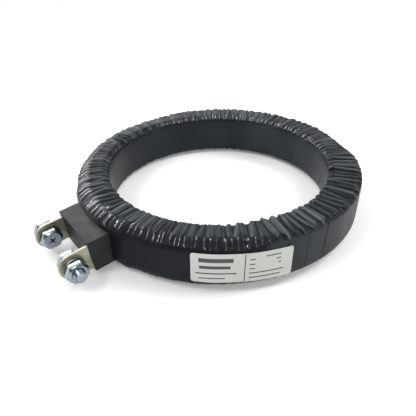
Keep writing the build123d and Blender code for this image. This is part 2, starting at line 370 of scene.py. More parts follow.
def attribute(material, name):
    """A value that the mesh holds for each of its vertices."""
    node = material.node_tree.nodes.new("ShaderNodeAttribute")
    node.attribute_name = name
    return node.outputs["Fac"]


def combine(material, operation, first, *others):
    """Adds or multiplies values."""
    tree = material.node_tree
    for other in others:
        node = tree.nodes.new("ShaderNodeMath")
        node.operation = operation
        tree.links.new(first, node.inputs[0])
        tree.links.new(other, node.inputs[1])
        first = node.outputs[0]
    return first


def bump(material, value, height):
    """Bump of the given height in metres."""
    tree = material.node_tree
    node = tree.nodes.new("ShaderNodeBump")
    node.inputs["Distance"].default_value = height
    tree.links.new(value, node.inputs["Height"])
    feed(material, "Normal", node.outputs["Normal"])


# %% [markdown]
# The tape is black PVC. Four attributes on the mesh, which are worked out further down for
# each vertex, say how it looks there:
#
# - `stretch` runs from -1, slack and dull, to 1, pulled tight and glossy
# - `gloss` is the share of a clear wet-looking shine, for the edges that catch the light
# - `wear_and_painted_light` is 1 on top of a fold, greyed by dust and handling, and 0 down in a
#   valley, left black there as painted shade; it also carries the painted shade and sheen that are
#   worked out further down
# - `smooth` is 1 on the plain outer wall, which is a little duller and darker

# %% Tape material
tape_black = new_material(
    "tape_black", (0.008, 0.0085, 0.0095), 0.0, 0.4,
    IOR=1.28, Specular_Tint=(0.86, 0.95, 1.0, 1), Coat_Roughness=0.10, Coat_IOR=1.95,
)
smooth = attribute(tape_black, "smooth")
tightness = spread(tape_black, attribute(tape_black, "stretch"), -1, 1, 0.52, 0.18)
patchy = patches(tape_black, 90, 3, -0.06, 0.06)
duller = spread(tape_black, smooth, 0, 1, 0, 0.2)
feed(tape_black, "Roughness", combine(tape_black, "ADD", tightness, patchy, duller))
feed(tape_black, "Coat Weight", spread(tape_black, attribute(tape_black, "gloss"), 0, 1, 0, 0.9))
dust = patches(tape_black, 45, 4, 0.4, 1.0)
darker = spread(tape_black, smooth, 0, 1, 1, 0.85)
# Painted shade and sheen: this level keeps the tape black in the valleys, at lap edges and between
# the glints, greys the crests with dust, and lightens the streaks beside the block.
wear_and_painted_light_level = spread(tape_black, attribute(tape_black, "wear_and_painted_light"), 0.35, 0.9, 0.03, 1)
worn_and_painted_light = combine(tape_black, "MULTIPLY", dust, darker, wear_and_painted_light_level)
tint(tape_black, worn_and_painted_light, (0.0018, 0.0029, 0.0044), (0.088, 0.101, 0.111))
bump(tape_black, noise(tape_black, 900, 4), 0.00005)
print(tape_black.name, "has", len(tape_black.node_tree.nodes), "nodes")

# %% [markdown]
# The terminal block is a matt black moulding with a fine spark-eroded grain, which bump gives
# cheaply. The nuts and screws are bright zinc, a little blue, and the washers a duller and
# greener zinc. The tabs are tinned brass with the faint streaks of rolled strip, which come
# from noise that is stretched along one axis.

# %% Moulding and metals
block_black = new_material("block_black", (0.011, 0.0125, 0.014), 0.0, 0.5, IOR=1.37)
feed(block_black, "Roughness", patches(block_black, 150, 3, 0.44, 0.6))
bump(block_black, noise(block_black, 2600, 2), 0.00004)

zinc = new_material("zinc", (0.27, 0.32, 0.37), 1.0, 0.25)
tint(zinc, noise(zinc, 320, 3), (0.17, 0.22, 0.27), (0.36, 0.41, 0.45))
feed(zinc, "Roughness", patches(zinc, 700, 3, 0.16, 0.32))
bump(zinc, noise(zinc, 1800, 2), 0.00002)

dull_zinc = new_material("dull_zinc", (0.42, 0.46, 0.42), 1.0, 0.35)
tint(dull_zinc, noise(dull_zinc, 400, 3), (0.11, 0.12, 0.10), (0.26, 0.28, 0.24))
feed(dull_zinc, "Roughness", patches(dull_zinc, 800, 3, 0.28, 0.45))

tin = new_material("tin", (0.36, 0.34, 0.27), 1.0, 0.4)
tint(tin, noise(tin, 350, 5, (1, 0.4, 1)), (0.28, 0.265, 0.20), (0.43, 0.41, 0.33))
feed(tin, "Roughness", patches(tin, 900, 4, 0.34, 0.52, (1, 0.3, 1)))
bump(tin, noise(tin, 1500, 3, (1, 0.25, 1)), 0.00002)
print("so far", len(bpy.data.materials), "materials")

# %% [markdown]
# The label is silver-grey foil. A true mirror-like metal would show the room in it, while real
# label foil has a matt varnish, so it is mostly plain grey with a little metal mixed in.

# %% Foil and print
foil = new_material("foil", (0.64, 0.66, 0.62), 0.2, 0.42)
tint(foil, noise(foil, 60, 2), (0.50, 0.52, 0.475), (0.58, 0.60, 0.565))
feed(foil, "Roughness", patches(foil, 200, 3, 0.36, 0.5))

print_grey = new_material("print_grey", (0.06, 0.065, 0.07), 0.0, 0.5)
tint(print_grey, noise(print_grey, 1500, 2), (0.022, 0.024, 0.027), (0.07, 0.072, 0.076))
print(foil.name, "and", print_grey.name)

# %% [markdown]
# Nobody sees the layers inside the ring unless it is cut open. They get simple finishes all
# the same: rolled steel strip, brown pressboard, enamelled copper wire and clear film.

# %% Finishes inside the ring
steel = new_material("core_strip_steel", (0.40, 0.41, 0.43), 1.0, 0.45)
feed(steel, "Roughness", patches(steel, 300, 3, 0.35, 0.6, (1, 1, 8)))
board = new_material("pressboard", (0.55, 0.42, 0.26), 0.0, 0.85)
tint(board, noise(board, 500, 4), (0.46, 0.34, 0.20), (0.62, 0.49, 0.32))
copper = new_material("enamelled_copper", (0.48, 0.17, 0.07), 0.8, 0.3)
tint(copper, noise(copper, 250, 2, (1, 1, 0.1)), (0.40, 0.13, 0.05), (0.58, 0.24, 0.11))
film = new_material("clear_film", (0.75, 0.72, 0.58), 0.0, 0.2)
feed(film, "Roughness", patches(film, 120, 2, 0.12, 0.3))
sleeve = new_material("lead_sleeve", (0.72, 0.70, 0.62), 0.0, 0.6)
bump(sleeve, noise(sleeve, 2500, 2), 0.00003)
print("now", len(bpy.data.materials), "materials")

# %% [markdown]
# The pieces inside the ring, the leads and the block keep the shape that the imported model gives
# them, and only get their finish. The spring washers get theirs with the other fasteners.

# %% Pieces that keep their shape


def dress(node, material):
    """Puts a material on a CAD node, whose shape stays as it is."""
    for slot in nodes[node].material_slots:
        slot.material = material
    print(node, "in", material.name)


dress("core", steel)
for part in ("core_bore_liner", "core_outer_liner", "core_top_ring", "core_bottom_ring"):
    dress(part, board)
dress("secondary_winding", copper)
dress("film_wrap", film)
dress("terminal_block", block_black)
for end in ("s1", "s2"):
    dress(f"lead_{end}", copper)
    dress(f"lead_sleeve_{end}", sleeve)

# %% [markdown]
# ## The tape
#
# On the real ring a strip of tape runs round and round the section, each turn lapping the one
# before. It lies tight on the outer wall, but on the flat faces the inner edge of the ring is
# shorter than the outer one, so the spare width gathers in radial pleats.
#
# A plane in the ring's section becomes its outline: two corners are bevelled large for the
# outer shoulders and two small for the inner ones, the long edges are cut into rows, the face
# is thrown away and a Screw modifier turns the outline once round the axis. Spin would do the
# same, but it is slow with this many steps.

# %% Section of the tape
window_r = mounts["aperture"]["dims"]["r_mm"] * mm
tape_low, tape_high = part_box("tape_wrap")
pleat_room = 0.7 * mm
lap_room = 0.25 * mm
tape_half = tape_high.z - pleat_room
tape_r = tape_high.x - lap_room
middle_r = (window_r + tape_r) / 2
shoulder_out = 6.5 * mm
shoulder_in = 3.8 * mm
columns = 1440
bore_rows, wall_rows, top_rows, bottom_rows = 4, 8, 14, 5
tiny = 0.01 * mm

deselect()
bpy.ops.mesh.primitive_plane_add(size=1, location=(middle_r, 0, 0), rotation=(pi / 2, 0, 0))
tape = bpy.context.object
tape.scale = (tape_r - window_r, 2 * tape_half, 1)
bpy.ops.object.transform_apply(location=True, rotation=True, scale=True)


def round_corner(outer, top, offset, segments):
    """Bevels one corner of the section."""
    pick(tape, "VERT", lambda v: (v.co.x > middle_r) == outer and (v.co.z > 0) == top
         and min(abs(v.co.x - window_r), abs(v.co.x - tape_r)) < tiny
         and tape_half - abs(v.co.z) < tiny)
    bpy.ops.mesh.bevel(offset=offset, affect="VERTICES", segments=segments)
    leave_edit()


def cut_rows(test, rows):
    pick(tape, "EDGE", lambda e: test(edge_middle(tape, e)))
    bpy.ops.mesh.subdivide(number_cuts=rows - 1)
    leave_edit()


round_corner(True, True, shoulder_out, 12)
round_corner(True, False, shoulder_out, 8)
round_corner(False, True, shoulder_in, 9)
round_corner(False, False, shoulder_in, 6)
pick(tape, "FACE", lambda f: True)
bpy.ops.mesh.delete(type="ONLY_FACE")
leave_edit()
cut_rows(lambda m: m.x > tape_r - tiny, wall_rows)
cut_rows(lambda m: m.x < window_r + tiny, bore_rows)
cut_rows(lambda m: m.z > tape_half - tiny, top_rows)
cut_rows(lambda m: m.z < tiny - tape_half, bottom_rows)
turning = tape.modifiers.new("turning", "SCREW")
turning.angle = tau
turning.screw_offset = 0
turning.steps = columns
turning.render_steps = columns
turning.use_merge_vertices = True
apply_modifiers(tape)
close_up(tape)
print("tape mesh", len(tape.data.vertices), "vertices")

# %% [markdown]
# From here on the ring is worked out with numpy, for all vertices at once. Each vertex has its
# azimuth `around`, and a direction `out` and `up` in which its place on the section faces.
# `ease` and `between` are the two tools for this: a soft step, and a stretch of the ring from
# one azimuth to another with soft ends.

# %% Where each vertex lies on the section
places = np.empty(len(tape.data.vertices) * 3)
tape.data.vertices.foreach_get("co", places)
places = places.reshape(-1, 3)
around = np.degrees(np.arctan2(places[:, 1], places[:, 0]))
radius = np.hypot(places[:, 0], places[:, 1])
height = places[:, 2].copy()

outer_half = radius > middle_r
round_r = np.where(outer_half, shoulder_out, shoulder_in)
centre_r = np.clip(radius, window_r + shoulder_in, tape_r - shoulder_out)
centre_z = np.clip(height, round_r - tape_half, tape_half - round_r)
out = radius - centre_r
up = height - centre_z
length = np.hypot(out, up)
out /= length
up /= length
across = (radius - window_r) / (tape_r - window_r)
upper = up > -0.001


def ease(value, low, high):
    """0 below low, 1 above high, and a smooth step between them."""
    t = np.clip((value - low) / (high - low), 0, 1)
    return t * t * (3 - 2 * t)


def apart(angle):
    """Signed angle round the ring from a place to each vertex, in degrees."""
    return (around - angle + 180) % 360 - 180


def between(start, stop, blend):
    """1 inside a stretch of the ring and 0 outside it, with soft ends, in degrees."""
    middle = (start + stop) / 2
    half = (stop - start) / 2
    return ease(-np.abs(apart(middle)), -half - blend, blend - half)


# Shares from 0 to 1 of the parts of the section: shoulders, wall, window and flat faces.
outer_side = ease(out, 0.02, 0.35)
inner_side = ease(-out, 0.02, 0.35)
wall = ease(out, 0.80, 0.97)
bore = ease(-out, 0.80, 0.97)
flat = 1 - np.maximum(wall, bore)
print("share on the wall", round(wall.mean(), 2), "and in the window", round(bore.mean(), 2))

# %% [markdown]
# The outer shoulder on top changes round the ring. It is at its largest past the terminal
# block, and tight at the right and at the back, so the upper half of the section is drawn again
# with each vertex's own corner radius. Beside the block, and faintly along the front, the tape
# bridges the corner with a narrow facet, so what stands past the facet is pushed back to it.

# %% Shoulders
left = between(-132, -84, 5)
corner = shoulder_out + 1.0 * mm * between(-185, -90, 14)
corner -= 3.4 * mm * between(-26, 62, 10) + 2.4 * mm * between(78, 165, 10)
bridge = 0.28 * mm * between(-84, -26, 6) + 0.80 * mm * left
bridge_tilt = np.radians(49 + 9 * left)

own = upper & outer_half
low_r = window_r + shoulder_in
low_z = shoulder_out - tape_half
share_r = (centre_r - low_r) / (tape_r - shoulder_out - low_r)
share_z = (centre_z - low_z) / (tape_half - shoulder_out - low_z)
centre_r = np.where(upper, low_r + share_r * (tape_r - corner - low_r), centre_r)
centre_z = np.where(own, low_z + share_z * (tape_half - corner - low_z), centre_z)
round_r = np.where(own, corner, round_r)
radius = centre_r + out * round_r
height = centre_z + up * round_r

past = (radius - tape_r + corner) * np.cos(bridge_tilt)
past += (height - tape_half + corner) * np.sin(bridge_tilt)
past = np.maximum(past - corner + bridge, 0) * (bridge > 0) * own
radius -= past * np.cos(bridge_tilt)
height -= past * np.sin(bridge_tilt)
print("corner mm", round(corner.min() / mm, 2), "to", round(corner.max() / mm, 2))

# %% [markdown]
# Now the pleats. Every fold has its own place round the ring, width, height, slant and bend,
# drawn from a seeded random source so that each run is the same. A fold is a rounded ridge,
# steeper on one side, and where two folds meet the higher one wins, which leaves the sharp
# valley that laid-over tape has.
#
# The same function draws four layers: broad folds, the fine creases between them, the narrow
# strokes that cross the shoulders where laps lie over each other, and the streaks beside the
# block.

# %% Folds


def wander(seed, waves, value):
    """A smooth random curve between about -1 and 1 that closes on itself round the ring."""
    source = random.Random(seed)
    total = np.zeros_like(value)
    for _ in range(6):
        count = source.randint(*waves)
        total += np.sin(np.radians(value * count) + source.uniform(0, tau))
    return total / 3


def fold_heights(seed, spacing, lift, lean, overlap, lie=1, over_wall=0):
    """Heights from 0 to 1 of folds all round, for every vertex. Spacing, in degrees, and lift
    are ranges, lean is how far folds stray from straight, overlap widens them, lie is the side
    on which they are gentle, and over_wall carries them on over the wall and the window."""
    source = random.Random(seed)
    heights = np.zeros(len(places))
    angle = -180.0
    while angle < 180:
        step = source.uniform(*spacing)
        tall = source.uniform(*lift)
        slant = source.gauss(0, lean)
        bend = source.gauss(0, lean)
        fall = step * source.uniform(0.6, 0.85) * overlap
        climb = step * source.uniform(0.3, 0.5) * overlap
        die_at = source.uniform(0.4, 2.2)
        tuck = source.uniform(0.55, 0.95)
        near = np.flatnonzero(np.abs(apart(angle)) < fall + climb + 3 * lean)
        u = across[near]
        off = apart(angle)[near] - slant * (u - 0.5) - bend * ((u - 0.5) ** 2 - 0.1)
        narrow = 1 - 0.35 * outer_side[near]
        share = np.abs(off) / np.where(lie * off > 0, fall, climb) / narrow
        ridge = np.clip(1 - share ** 2, 0, 1)
        fading = 1 - 0.6 * ease(u, die_at - 0.25, die_at + 0.25)
        ends = ease(flat[near] + over_wall, 0, tuck)
        heights[near] = np.maximum(heights[near], tall * ridge * fading * ends)
        angle += step
    return heights


folds = fold_heights(3, (2.0, 4.2), (0.6, 1.0), 1.9, 1.0)
creases = fold_heights(8, (0.5, 1.6), (0.1, 1.0), 0.9, 1.0, over_wall=1)
strokes = fold_heights(21, (1.4, 2.8), (0.4, 1.0), 0.7, 0.36, lie=-1)
streaks = fold_heights(34, (0.8, 2.2), (0.4, 1.0), 1.4, 0.95, lie=-1)
print("folds", round(float(folds.mean()), 3), "creases", round(float(creases.mean()), 3))

# %% [markdown]
# The tape is looser in some places than in others. It bunches most at the ring's inner edge on
# the right, and the folds are lowest at the front, where it was pulled tightest. The whole
# surface then drops a little, so that the valleys lie below the plain section and the tops of
# the folds stay inside the room that the solid leaves. Beside the block a few folded-over flaps
# lie across the shoulder.

# %% Depth of the folds
fold_depth = 1.35 * mm
crease_depth = 0.34 * mm
stroke_depth = 0.35 * mm
streak_depth = 0.455 * mm
valley_drop = 0.85 * mm
flap_rise = 1.3 * mm

tight = between(-78, -40, 8)
loose = 0.85 + 0.15 * wander(5, (2, 9), around)
loose *= 1 - tight * (0.75 - 0.3 * outer_side)
loose *= 1 - 0.5 * (up < 0)
loose *= 1 - 0.6 * left * outer_side
bunched = 1 + 0.6 * inner_side * between(-45, 45, 15)
shoulder = 1 - 0.25 * outer_side
relief = fold_depth * folds * loose * bunched * shoulder + crease_depth * creases * flat
relief += stroke_depth * strokes * np.maximum(outer_side * (1 - left), inner_side)
relief += streak_depth * streaks * outer_side * left


def tongue(angle, width, start, stop):
    """A folded-over flap of tape that lies over the edge of the face, from 0 to 1. It starts
    and stops at shares of the way from the window's edge down to the outer wall."""
    over_edge = 0.62 + 0.38 * np.arcsin(np.clip(out, 0, 1)) / (pi / 2)
    along = np.where(out > 0.02, over_edge, across)
    off = (apart(angle) + 3 * (across - 0.8)) / width
    body = np.minimum(np.clip((off + 1) / 1.7, 0, 1), np.clip((1 - off) / 0.3, 0, 1))
    return body * (up > 0) * ease(along, start, start + 0.08) * ease(-along, -stop, 0.10 - stop)


flaps = tongue(-86.0, 1.7, 0.50, 0.84)
flaps = np.maximum(flaps, 0.8 * tongue(-80.0, 1.1, 0.66, 0.95))
flaps = np.maximum(flaps, 0.5 * tongue(-83.0, 0.6, 0.62, 0.86))
relief = np.maximum(relief, flap_rise * flaps)
drop = flat * (1 + 0.4 * inner_side) * (1 - 0.5 * tight) * (1 - 0.9 * left * outer_side)
relief -= valley_drop * drop
print("relief mm", round(relief.min() / mm, 2), "to", round(relief.max() / mm, 2))

# %% [markdown]
# The outer wall shows the edges of the laps instead: a thin step for each turn of tape,
# leaning a few degrees, most of them pressed almost flat. At the right the wall is slack and
# finely wrinkled, and its upper brink stands up in a small lip. Near the terminal block the
# tape stands out over the block's wings. The window has only fine upright wrinkles.

# %% Laps, wings and window
turns = 44
tape_t = 0.18 * mm
lap_slant = radians(4)
brink_lip = 0.30 * mm
brink_up = 0.45
slack_depth = 0.12 * mm
flutter_depth = 0.04 * mm
wing_out = 1.0 * mm
wing_half_angle = 17.2
wing_blend = 2.5
block_angle = -90.0

chance = random.Random(11)
lap_turn = (around + 180 - np.degrees(height * np.tan(lap_slant) / radius)) * turns / 360
lap_phase = lap_turn % 1
lap_share = np.array([chance.uniform(0.1, 1) for _ in range(turns + 2)])[lap_turn.astype(int)]
lap_share *= 0.35 + 0.65 * between(-20, 70, 8)
laps = lap_share * (1 - lap_phase) * ease(lap_phase, 0, 0.06) * tape_t
# lap_edge marks where a painted shadow line lies just past each lap's edge.
lap_edge = (0.25 + 0.75 * lap_share) * ease(-lap_phase, -0.08, -0.03)

wing_reach = wing_half_angle + wing_blend
swell = between(block_angle - wing_reach, block_angle + wing_reach, wing_blend)
flutter = wander(6, (60, 170), around)
brink = ease(-np.abs(up - brink_up), -0.14, 0.0) * (out > 0) * between(-19, 6, 3)
slack = between(4, 62, 6) * wall
relief += brink_lip * brink + slack_depth * creases * slack
move = relief + laps * wall + swell * wing_out * ease(out, 0.0, 0.5)
move += flutter_depth * flutter * bore
radius += out * move
height += up * move
print("laps mm", round(laps.min() / mm, 3), "to", round(laps.max() / mm, 3))

# %% [markdown]
# Where the skin has dropped it must still hide the polyester film under it. The film's section
# is a rectangle with rounded corners, so a vertex that lies too close to it is moved straight
# out from the corner's centre until a thin layer of tape covers the film again.

# %% Cover for the film, and the new places
film_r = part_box("film_wrap")[1].x
film_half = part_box("film_wrap")[1].z
film_bore = window_r + 1.05 * mm
film_round_out = 5.65 * mm
film_round_in = 2.75 * mm
cover = 0.12 * mm


def keep_cover(radius, height):
    """Moves vertices outward until they cover the film by at least a thin layer."""
    is_outer = radius > middle_r
    bend_r = np.where(is_outer, film_round_out, film_round_in)
    past_r = np.where(is_outer, radius - film_r, film_bore - radius) + bend_r
    past_z = np.abs(height) - film_half + bend_r
    reach = np.hypot(np.maximum(past_r, 0), np.maximum(past_z, 0)) + 1e-9
    short = np.maximum(bend_r + cover - reach, 0)
    sign_r = np.where(is_outer, 1, -1)
    radius = radius + sign_r * short * np.maximum(past_r, 0) / reach
    height = height + np.sign(height) * short * np.maximum(past_z, 0) / reach
    return radius, height


radius, height = keep_cover(radius, height)
radius = np.maximum(radius, window_r)
height = np.clip(height, tape_low.z, tape_high.z)
turned = np.radians(around)
places[:, 0] = radius * np.cos(turned)
places[:, 1] = radius * np.sin(turned)
places[:, 2] = height
tape.data.vertices.foreach_set("co", places.ravel())
print("widest mm", round(radius.max() / mm, 2), "tallest mm", round(height.max() / mm, 2))

# %% [markdown]
# Last come the four attributes that the tape's material reads. The shine lies on the strokes
# along the front shoulder and round the far edge of the window, on the streaks beside the block
# and on the flaps. In colour the tape is greyed by dust on the crests of its folds, and it is
# darkened as painted shade in its valleys, just past each lap's edge and between the glints on
# the front shoulder. The streaks beside the block are lightened as a painted sheen, the slack
# wall's wrinkles get painted light and shade, and the wall and the window are toned by region
# as painted light and shade for how the lamps fall on them.

# %% Gloss, wear and painted light of the tape
front_shine = outer_side * between(-84, -24, 6)
far_shine = inner_side * between(60, 172, 12)
patch = between(-128, -83, 7) * ease(height, -1 * mm, 4 * mm) * outer_side
glint = ease(strokes, 0.05, 0.4)
glossy = (front_shine * (1 - left) + far_shine) * glint * flat
glossy += 0.8 * patch * ease(streaks, 0.2, 0.5)
glossy = np.maximum(glossy, ease(flaps, 0.1, 0.3))

# Painted shade: the valleys of the pleats are kept black, while their crests are greyed by dust.
shade = np.clip(folds + 0.45 * (creases - 0.6), 0, 1) * flat
# The wall and the window get a tone by region, painted light and shade for how the lamps fall on
# them.
shade += (0.67 - 0.09 * between(-15, 75, 10)) * wall
shade += (0.45 + 0.07 * between(55, 125, 15)) * bore
# Painted shade: the front shoulder is darkened between its glints.
shade *= 1 - 0.75 * front_shine
# Painted light and shade on the slack wall's wrinkles, and a painted shadow line just past each
# lap's edge.
shade += 0.3 * (creases - 0.5) * slack
shade -= 0.5 * lap_edge * wall
# This evens out the painted shade of the pleats at the front and at the back of the top.
calm = np.maximum(0.5 * tight, 0.45 * between(60, 165, 12)) * flat * (1 - outer_side) * (up > 0)
shade += calm * (0.58 - shade)
# Painted sheen: the streaks beside the block are lightened in colour.
shade = np.maximum(shade, 0.8 * patch * ease(streaks, 0.2, 0.5))

stretched = outer_side * between(-84, -24, 8) + inner_side * between(50, 172, 12)
stretched *= 2 * glint - 1
stretched = np.where(patch > 0.02, patch * (1.3 * ease(streaks, 0.15, 0.45) - 1), stretched)

for name, values in (
    ("stretch", stretched * flat),
    ("gloss", glossy),
    ("wear_and_painted_light", np.clip(shade, 0, 1)),
    ("smooth", wall * (1 - 0.6 * slack)),
):
    layer = tape.data.attributes.new(name, "FLOAT", "POINT")
    layer.data.foreach_set("value", values.astype(np.float32))
finish_piece(tape, "tape_skin", tape_black, ["tape_wrap"], smooth=60)

# %% [markdown]
# ## Terminal tabs
#
# Each tab is a plate on edge with a round nose. The CAD node already has the exact outline, so
# a copy of it is merged, its flat faces are joined up again and its edges get a small bevel,
# because it is the bevel that catches the light.

# %% Tabs


def bevelled_copy(node, width, segments=2):
    """A copy of a CAD node with its doubles merged and a small bevel on its sharp edges."""
    take(nodes[node])
    bpy.ops.object.duplicate()
    copy = bpy.context.object
    copy.parent = None
    for key in list(copy.keys()):
        del copy[key]
    close_up(copy)
    pick(copy, "FACE", lambda f: True)
    bpy.ops.mesh.dissolve_limited(angle_limit=radians(1))
    leave_edit()
    bevel = copy.modifiers.new("edges", "BEVEL")
    bevel.width = width
    bevel.segments = segments
    bevel.limit_method = "ANGLE"
    bevel.angle_limit = radians(35)
    apply_modifiers(copy)
    return copy


for end in ("s1", "s2"):
    tab = bevelled_copy(f"terminal_tab_{end}", 0.18 * mm)
    finish_piece(tab, f"tinned_tab_{end}", tin, [f"terminal_tab_{end}"], smooth=35)

# %% [markdown]
# ## Fasteners
#
# Each tab holds an M6 screw with washers and a nut. Every fastener is modelled about the
# origin with its axis up, which keeps the numbers simple, and is then turned on to the screw's
# axis. The block hangs forward a little, so the fasteners lean with it.

# %% Sizes of the fasteners, and where they go
block_droop = radians(5.5)
thread_d = 6.0 * mm
thread_pitch = 1.0 * mm
thread_depth = 0.56 * mm
thread_gap = 0.03 * mm
hole_d = thread_d + 0.4 * mm
hex_af = 10.0 * mm
hex_face_r = 4.2 * mm
hex_crown = 1.0 * mm
head_h = 4.2 * mm
shank_tail = 7.5 * mm
recess_w, recess_arm, recess_depth = 5.0 * mm, 1.1 * mm, 2.0 * mm
recess_turn = radians(22)


def stack_place(node, side):
    """The matrix that takes a piece from the origin, axis up, to a CAD fastener's middle."""
    low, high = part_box(node)
    place = Matrix.Translation((low + high) / 2) @ Matrix.Rotation(block_droop, 4, "X")
    return place @ Matrix.Rotation(side * pi / 2, 4, "Y")


def thickness(node):
    low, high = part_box(node)
    return high.x - low.x


print("screw length mm", round(thickness("screw_s1") / mm, 2))

# %% [markdown]
# A plain washer is punched from sheet, so its rims are slightly rounded. It could be a tube
# of two cylinders, but an inset of the end faces and a bridge between them is quicker.

# %% Washers


def washer(node, outer_d, hole_d):
    """A flat ring with softly rounded rims."""
    t = thickness(node)
    deselect()
    bpy.ops.mesh.primitive_cylinder_add(
        vertices=64, radius=outer_d / 2, depth=t, end_fill_type="NGON"
    )
    ring = bpy.context.object
    pick(ring, "FACE", lambda f: abs(f.normal.z) > 0.9)
    bpy.ops.mesh.inset(thickness=(outer_d - hole_d) / 2, depth=0)
    bpy.ops.mesh.bridge_edge_loops()
    leave_edit()
    bevel = ring.modifiers.new("rims", "BEVEL")
    bevel.width = 0.12 * mm
    bevel.segments = 2
    bevel.limit_method = "ANGLE"
    apply_modifiers(ring)
    return ring


# %% [markdown]
# The corners of a nut and of a hexagon head are turned away on a lathe, which leaves curved
# edges where the flats meet the cone. The same happens here: a six-sided prism is cut by a
# wide cone at each end. A nut then gets its hole and a countersink at both ends.

# %% Nut and screw head


def hexagon(height, across_flats):
    """A hexagonal prism whose corners are turned away at both ends, by cutting it with cones."""
    corner_r = across_flats / sqrt(3)
    deselect()
    bpy.ops.mesh.primitive_cylinder_add(vertices=6, radius=corner_r, depth=height)
    prism = bpy.context.object
    bpy.ops.object.transform_apply(rotation=True)
    flare = (corner_r - hex_face_r) / hex_crown
    for end in (1, -1):
        deselect()
        bpy.ops.mesh.primitive_cone_add(
            vertices=96, radius1=hex_face_r + flare * height, radius2=hex_face_r, depth=height
        )
        cone = bpy.context.object
        if end < 0:
            cone.rotation_euler = (pi, 0, 0)
        cut = prism.modifiers.new("corners", "BOOLEAN")
        cut.operation = "INTERSECT"
        cut.solver = "EXACT"
        cut.object = cone
        apply_modifiers(prism)
        bpy.data.objects.remove(cone)
    return prism


def cut_away(body, tool):
    """Cuts one shape out of another and removes the tool."""
    cut = body.modifiers.new("cut", "BOOLEAN")
    cut.operation = "DIFFERENCE"
    cut.solver = "EXACT"
    cut.object = tool
    apply_modifiers(body)
    bpy.data.objects.remove(tool)


def soften(obj, width, angle=30):
    bevel = obj.modifiers.new("soft", "BEVEL")
    bevel.width = width
    bevel.segments = 2
    bevel.limit_method = "ANGLE"
    bevel.angle_limit = radians(angle)
    apply_modifiers(obj)


def make_nut(node):
    """A hexagon nut with a countersink at each end of its hole."""
    t = thickness(node)
    thread_r = thread_d / 2
    countersink = 0.5 * mm
    nut = hexagon(t, hex_af)
    deselect()
    bpy.ops.mesh.primitive_cylinder_add(vertices=64, radius=thread_r + thread_gap, depth=2 * t)
    cut_away(nut, bpy.context.object)
    for end in (1, -1):
        deselect()
        bpy.ops.mesh.primitive_cone_add(
            vertices=64, depth=2 * countersink,
            radius1=thread_r + countersink, radius2=thread_r - countersink,
            location=(0, 0, end * t / 2), rotation=(pi if end > 0 else 0, 0, 0),
        )
        cut_away(nut, bpy.context.object)
    soften(nut, 0.06 * mm)
    return nut


# %% [markdown]
# The screw's thread shows past the nut. One tooth of the thread's outline is wound up by a
# Screw modifier and cut flat at both ends, because a helix catches the light as stacked rings
# don't. The head has a cross recess, cut by two tapered bars.

# %% Threaded screw


def thread(length, pitch, outer_r, depth):
    """A helical thread on a solid core: one tooth of outline wound up by a Screw modifier."""
    turns_up = int(length / pitch) + 2
    deselect()
    bpy.ops.mesh.primitive_plane_add(size=1, rotation=(pi / 2, 0, 0))
    tooth = bpy.context.object
    bpy.ops.object.transform_apply(rotation=True)
    crest_half = 0.07 * pitch
    inner_r = outer_r - depth
    corners = [
        (inner_r, -pitch / 2), (outer_r, -crest_half), (outer_r, crest_half), (inner_r, pitch / 2)
    ]
    pick(tooth, "FACE", lambda f: True)
    bpy.ops.mesh.delete(type="ONLY_FACE")
    leave_edit()
    points = tooth.data.vertices
    order = sorted(range(4), key=lambda i: atan2(points[i].co.z, points[i].co.x))
    for index, (x, z) in zip(order, corners):
        points[index].co = (x, 0, z)
    inner = {order[0], order[3]}
    pick(tooth, "EDGE", lambda e: set(e.vertices) == inner)
    bpy.ops.mesh.delete(type="EDGE")
    leave_edit()
    wind = tooth.modifiers.new("wind", "SCREW")
    wind.axis = "Z"
    wind.screw_offset = pitch
    wind.iterations = turns_up
    wind.steps = 48
    wind.render_steps = 48
    wind.use_merge_vertices = True
    apply_modifiers(tooth)
    tooth.data.transform(Matrix.Translation((0, 0, -pitch * turns_up / 2)))
    for end in (1, -1):
        pick(tooth, "VERT", lambda v: True)
        bpy.ops.mesh.bisect(
            plane_co=(0, 0, end * length / 2), plane_no=(0, 0, end), clear_outer=True, use_fill=True
        )
        leave_edit()
    return tooth


def join(parts):
    take(parts[0])
    for part in parts:
        part.select_set(True)
    bpy.ops.object.join()
    return bpy.context.object


def make_screw(node, turn):
    """Head down, thread up: hexagonal head with a cross recess, and a chamfered threaded end."""
    total = thickness(node)
    head = hexagon(head_h, hex_af)
    head.location = (0, 0, (head_h - total) / 2)
    bpy.ops.object.transform_apply(location=True)
    arm_taper = 0.45
    for quarter in (0, 1):
        deselect()
        bpy.ops.mesh.primitive_cube_add(size=1, location=(0, 0, -total / 2))
        arm = bpy.context.object
        arm.scale = (recess_w, recess_arm, 2 * recess_depth)
        arm.rotation_euler = (0, 0, turn + quarter * pi / 2)
        bpy.ops.object.transform_apply(location=True, rotation=True, scale=True)
        pick(arm, "FACE", lambda f: f.center.z > recess_depth / 2 - total / 2)
        bpy.ops.transform.resize(value=(arm_taper, arm_taper, 1))
        leave_edit()
        cut_away(head, arm)
    soften(head, 0.08 * mm, 40)

    root_depth, sunk_in_head = 0.55 * mm, 0.1 * mm
    core_r = thread_d / 2 - root_depth
    shank_low = head_h - sunk_in_head - total / 2
    shank_high = total / 2
    deselect()
    bpy.ops.mesh.primitive_cylinder_add(
        vertices=64, radius=core_r, depth=shank_high - shank_low,
        location=(0, 0, (shank_high + shank_low) / 2),
    )
    core = bpy.context.object
    bpy.ops.object.transform_apply(location=True)
    soften(core, 0.25 * mm)

    bare_point = 0.405 * mm
    length = shank_tail - bare_point
    winding = thread(length, thread_pitch, thread_d / 2, thread_depth)
    winding.data.transform(Matrix.Translation((0, 0, shank_high - bare_point - length / 2)))
    return join([head, core, winding])


# %% [markdown]
# Both terminals get the same set, with the nut on the outside of each tab. The spring washers
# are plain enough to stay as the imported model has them.

